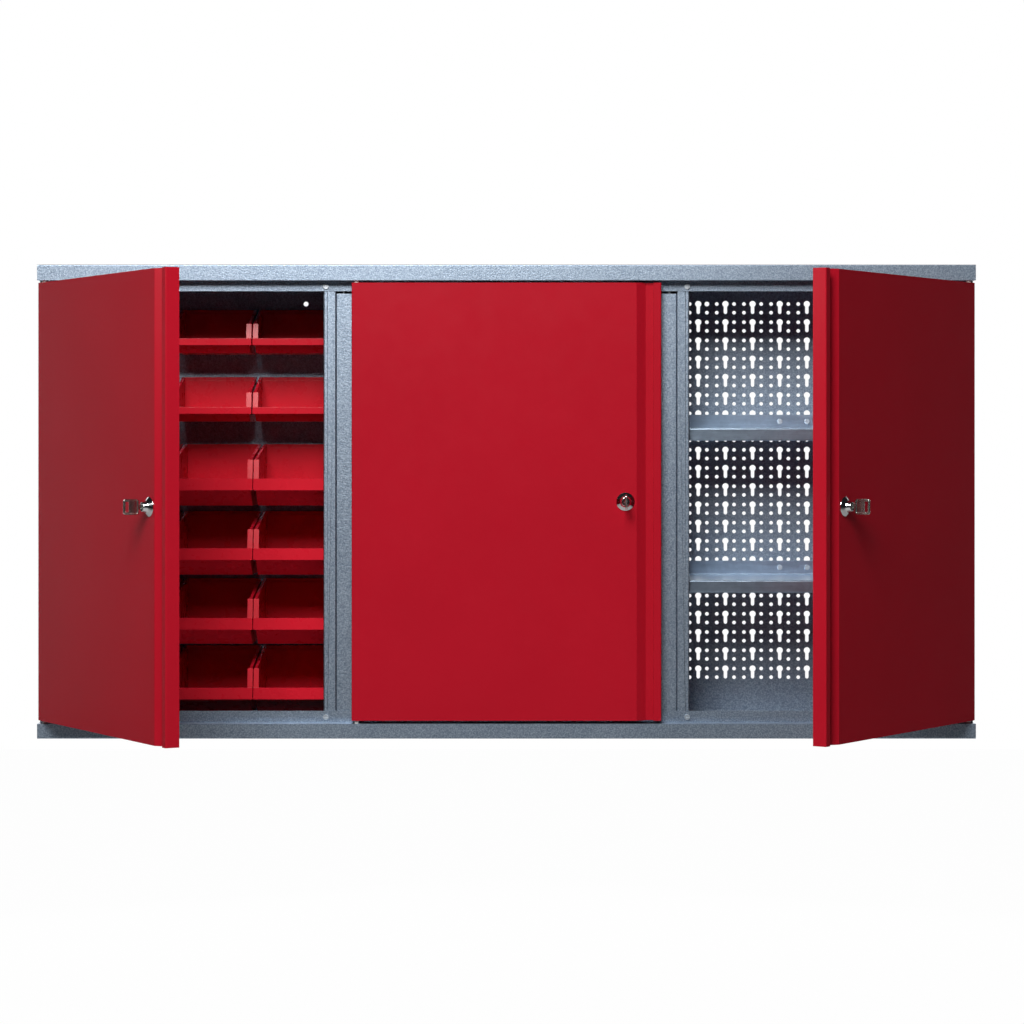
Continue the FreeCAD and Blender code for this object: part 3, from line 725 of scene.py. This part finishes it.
@dataclass
class DoorSet:
    """One door with its lock and key."""

    bay: Bay

    def named(self, *kinds: str) -> list[str]:
        """Node names of this door's pieces."""
        return [f"{self.bay.value}_{kind}" for kind in kinds]

    def build(self, wardrobe: Wardrobe) -> None:
        """Dress the door, the lock and the key.

        Args:
            wardrobe: Where the finishes come from.
        """
        SolidSet(self.named("door"), Slot.RED_PAINT, METAL_EDGE).build(wardrobe)
        SolidSet(self.named("lock_housing", "lock_core"), Slot.CHROME, METAL_EDGE, 3).build(wardrobe)
        SolidSet(self.named("lock_nut", "lock_cam", "cam_screw"), Slot.ZINC, METAL_EDGE).build(wardrobe)
        SolidSet(self.named("key"), Slot.NICKEL, KEY_EDGE, 3).build(wardrobe)


@dataclass
class BinBank:
    """Rows of hanging bins, large below and small above."""

    large_rows: Sequence[int] = (1, 2, 3, 4)
    small_rows: Sequence[int] = (5, 6)
    columns: Sequence[int] = (1, 2, 3)

    def names(self) -> Iterable[str]:
        """Node names of all bins."""
        for size, rows in (("large", self.large_rows), ("small", self.small_rows)):
            for row in rows:
                for column in self.columns:
                    yield f"{size}_bin_{row}_{column}"

    def build(self, wardrobe: Wardrobe) -> None:
        """Dress every bin.

        Args:
            wardrobe: Where the finish comes from.
        """
        SolidSet(list(self.names()), Slot.RED_PLASTIC, BIN_EDGE, 3).build(wardrobe)


@dataclass(frozen=True)
class Lamp:
    """A soft box that the eye doesn't see."""

    name: str
    at: Sequence[float]
    target: Sequence[float]
    size: Point
    power: float
    colour: Colour = (1.0, 1.0, 1.0)

    def hang(self) -> None:
        """Add the lamp to the scene, turned to its target."""
        light = bpy.data.lights.new(self.name, "AREA")
        light.shape, light.energy, light.color = "RECTANGLE", self.power, self.colour
        light.size, light.size_y = self.size
        seat = bpy.data.objects.new(self.name, light)
        seat.location = self.at
        aim = Vector(self.target) - Vector(self.at)
        seat.rotation_euler = aim.to_track_quat("-Z", "Y").to_euler()
        seat.visible_camera = False
        bpy.context.scene.collection.objects.link(seat)


LAMPS = (
    Lamp("key_lamp", (-0.40, -2.45, 1.33), (0.0, -0.15, -0.25), (1.15, 1.3), 94.0, (1.0, 0.985, 0.96)),
    Lamp("left_lamp", (-2.6, -1.8, 0.5), (-0.4, -0.3, -0.25), (0.8, 0.8), 4.0, (1.0, 0.99, 0.97)),
    Lamp("left_rear_lamp", (-1.5, 3.0, 0.0), (0.0, 0.0, -0.25), (3.0, 2.4), 40.0),
    Lamp("right_rear_lamp", (1.5, 3.0, 0.0), (0.0, 0.0, -0.25), (3.0, 2.4), 40.0),
)


@dataclass
class Studio:
    """Camera, pale floor and white surroundings, with the lamps hung in it."""

    eye: Sequence[float] = (0.0, -3.84, -0.1868)
    lens: float = 100.4
    shift: Point = (0.0054, -0.0674)
    floor_height: float = -1.35
    floor_size: float = 14.0
    ambient: Colour = (0.80, 0.86, 0.95)
    ambient_level: float = 0.014
    sensor: float = 36.0
    floor_paint: Colour = (0.6, 0.6, 0.6)
    floor_glow: float = 0.985

    def build(self) -> None:
        """Set up everything round the object."""
        bpy.context.scene.view_settings.view_transform = "Standard"
        self.camera()
        for lamp in LAMPS:
            lamp.hang()
        self.surroundings()
        self.floor()

    def camera(self) -> None:
        """Make the camera that looks level along +Y."""
        lens = bpy.data.cameras.new("camera")
        lens.lens, lens.sensor_width = self.lens, self.sensor
        lens.shift_x, lens.shift_y = self.shift
        seat = bpy.data.objects.new("camera", lens)
        seat.location = self.eye
        seat.rotation_euler = (math.pi / 2, 0.0, 0.0)
        bpy.context.scene.collection.objects.link(seat)
        bpy.context.scene.camera = seat

    def surroundings(self) -> None:
        """White backdrop for the eye and for mirrors that face it, soft dim light for the rest."""
        world = bpy.data.worlds.new("studio")
        bpy.context.scene.world = world
        world.use_nodes = True
        graph = Graph(world.node_tree)
        rays = {name: graph.add("ShaderNodeLightPath", {}, {}, name)
                for name in ("Is Camera Ray", "Is Glossy Ray", "Is Transmission Ray")}
        way = graph.add("ShaderNodeTexCoord", {}, {}, "Generated")
        depth = graph.add("ShaderNodeSeparateXYZ", {}, {0: way}, "Y")
        behind = graph.ramp(depth * 0.5 + 0.5, (0.80, 0.0), (0.97, 1.0))
        seen = rays["Is Camera Ray"] | (rays["Is Glossy Ray"] | rays["Is Transmission Ray"]) * behind
        dim = graph.add("ShaderNodeBackground", {},
                        {"Color": (*self.ambient, 1.0), "Strength": self.ambient_level})
        white = graph.add("ShaderNodeBackground", {}, {"Color": (1.0, 1.0, 1.0, 1.0), "Strength": 1.0})
        mixed = graph.add("ShaderNodeMixShader", {}, {0: seen, 1: dim, 2: white})
        graph.add("ShaderNodeOutputWorld", {}, {"Surface": mixed})

    def floor(self) -> None:
        """Pale floor well below the cabinet, nearly white to the eye."""
        half = self.floor_size / 2
        mesh = bpy.data.meshes.new("floor")
        mesh.from_pydata([(-half, -half, 0), (half, -half, 0), (half, half, 0), (-half, half, 0)], [],
                         [(0, 1, 2, 3)])
        plane = bpy.data.objects.new("floor", mesh)
        plane.location = (0.0, 0.0, self.floor_height)
        bpy.context.scene.collection.objects.link(plane)
        paint = bpy.data.materials.new("pale_floor")
        paint.use_nodes = True
        graph = Graph(paint.node_tree)
        seen = graph.add("ShaderNodeLightPath", {}, {}, "Is Camera Ray")
        matt = graph.add("ShaderNodeBsdfDiffuse", {}, {"Color": (*self.floor_paint, 1.0)})
        white = graph.add("ShaderNodeEmission", {}, {"Color": (1.0, 1.0, 1.0, 1.0), "Strength": 1.0})
        mixed = graph.add("ShaderNodeMixShader", {}, {0: seen * self.floor_glow, 1: matt, 2: white})
        graph.add("ShaderNodeOutputMaterial", {}, {"Surface": mixed})
        mesh.materials.append(paint)


def main() -> None:
    """Build and dress the cabinet, then the studio."""
    logging.basicConfig(level=logging.INFO, format="%(name)s: %(message)s")
    wardrobe = Wardrobe(FINISHES)
    Carcass().build(wardrobe)
    for bay in Bay:
        DoorSet(bay).build(wardrobe)
    BinBank().build(wardrobe)
    Studio().build()


if __name__ == "__main__":
    main()
